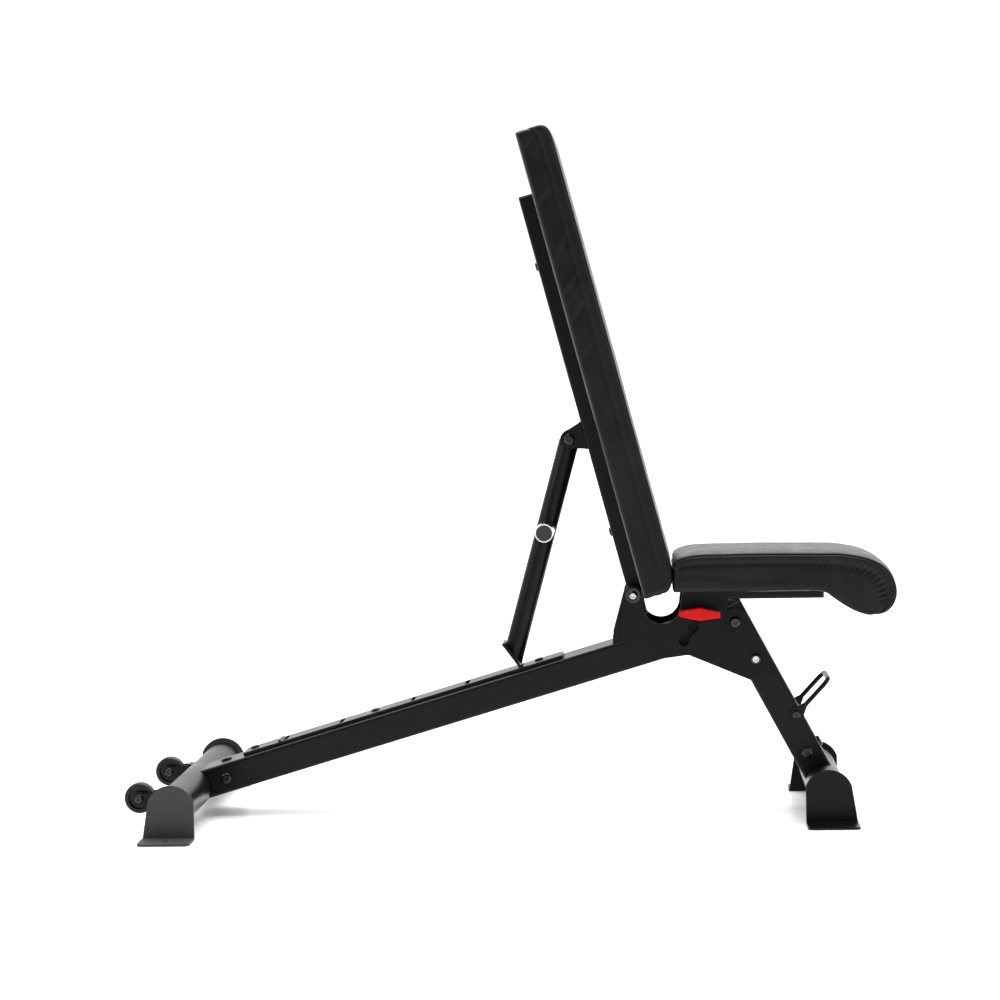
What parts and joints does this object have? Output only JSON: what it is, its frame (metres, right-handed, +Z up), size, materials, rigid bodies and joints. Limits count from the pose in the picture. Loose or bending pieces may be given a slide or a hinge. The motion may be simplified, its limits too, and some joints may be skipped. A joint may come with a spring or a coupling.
{
  "type": "adjustable weight bench",
  "caption": "Adjustable weight bench: padded backrest on a strut and ladder rail, tilting padded seat with pull pin, sloped steel frame, foot plates, wheels and carry handle.",
  "frame": {"origin": "centre of the bounding box on the floor", "axes": "+X towards the seat end, +Y to the left of somebody facing the seat end, +Z up"},
  "size_m": [1.3053, 0.642, 1.168],
  "materials": {
    "black_paint": "fine-textured matte black powder coat",
    "upholstery": "black vinyl leather, soft sheen",
    "board": "black-stained plywood",
    "red_grip": "moulded red plastic",
    "chrome": "polished chrome plate",
    "plastic": "matte moulded",
    "bush_plastic": "nylon",
    "wheel": "moulded, satin rim",
    "zinc_steel": "zinc plated",
    "black_screws": "black oxide, slight gloss"
  },
  "bodies": {
    "frame": {"rear_stabiliser": "black_paint", "front_stabiliser": "black_paint", "foot_plate_rear_right": "black_paint", "foot_plate_rear_left": "black_paint", "foot_plate_front_right": "black_paint", "foot_plate_front_left": "black_paint", "base_rail": "black_paint", "front_post": "black_paint", "post_plug": "plastic", "rear_stub": "black_paint", "front_stub": "black_paint", "gusset_right": "black_paint", "gusset_left": "black_paint", "pivot_ear_right": "black_paint", "pivot_ear_left": "black_paint", "ladder_plate": "black_paint", "ladder_bolts": "black_screws", "main_axle": "zinc_steel", "axle_nut": "zinc_steel", "axle_washers": "black_screws", "axle_spacers": "bush_plastic", "frame_bolts": "black_screws", "frame_nuts": "black_screws", "pin_barrel": "zinc_steel", "pin_spring": "zinc_steel", "carry_handle_bolts": "black_screws", "wheel_bracket_right": "black_paint", "wheel_bracket_left": "black_paint", "wheel_bolts": "black_screws", "wheel_nuts": "black_screws"},
    "backrest": {"backrest_tube": "black_paint", "backrest_bush": "black_paint", "backrest_plug": "plastic", "backrest_board": "board", "backrest_pad": "upholstery", "backrest_bolts": "black_screws", "strut_clevis": "black_paint", "clevis_bolt": "black_screws", "clevis_nut": "black_screws"},
    "strut": {"strut_tube": "black_paint", "strut_bush": "black_paint", "strut_foot": "black_paint", "strut_handle_bar": "chrome", "handle_plugs": "plastic"},
    "seat": {"seat_plate_right": "black_paint", "seat_plate_left": "black_paint", "seat_rail": "black_paint", "seat_rail_plug": "plastic", "seat_board": "board", "seat_pad": "upholstery", "seat_screws": "black_screws"},
    "pull_pin": {"pin_shaft": "zinc_steel", "pin_handle": "red_grip"},
    "carry_handle": {"carry_handle": "black_paint"},
    "wheel_right": {"wheel_right": "wheel"},
    "wheel_left": {"wheel_left": "wheel"}
  },
  "joints": [
    {"name": "backrest_hinge", "type": "hinge", "parent": "frame", "child": "backrest", "pos_m": [0.21052, 0, 0.376], "axis": [0, -1, 0], "range_deg": [0, 90]},
    {"name": "strut_hinge", "type": "hinge", "parent": "backrest", "child": "strut", "pos_m": [0.10588, 0, 0.64087], "axis": [0, -1, 0], "range_deg": [-146, 0]},
    {"name": "seat_tilt", "type": "hinge", "parent": "frame", "child": "seat", "pos_m": [0.21052, 0, 0.376], "axis": [0, -1, 0], "range_deg": [0, 27], "deforming": ["seat_pad"]},
    {"name": "pin_pull", "type": "slide", "parent": "frame", "child": "pull_pin", "axis": [0, -1, 0], "range_m": [0, 0.012], "stiffness_N_per_m": 900, "springref_m": -0.002, "deforming": ["pin_spring"]},
    {"name": "handle_fold", "type": "hinge", "parent": "frame", "child": "carry_handle", "pos_m": [0.48503, 0, 0.16817], "axis": [0, -1, 0], "range_deg": [-92, 55]},
    {"name": "wheel_right_spin", "type": "hinge", "parent": "frame", "child": "wheel_right", "pos_m": [-0.62702, -0.14, 0.05], "axis": [0, 1, 0], "continuous": true},
    {"name": "wheel_left_spin", "type": "hinge", "parent": "frame", "child": "wheel_left", "pos_m": [-0.62702, 0.14, 0.05], "axis": [0, 1, 0], "continuous": true}
  ],
  "couplings": [
    {"joint": "strut_hinge", "follows": "backrest_hinge", "ratio": -1.612}
  ]
}
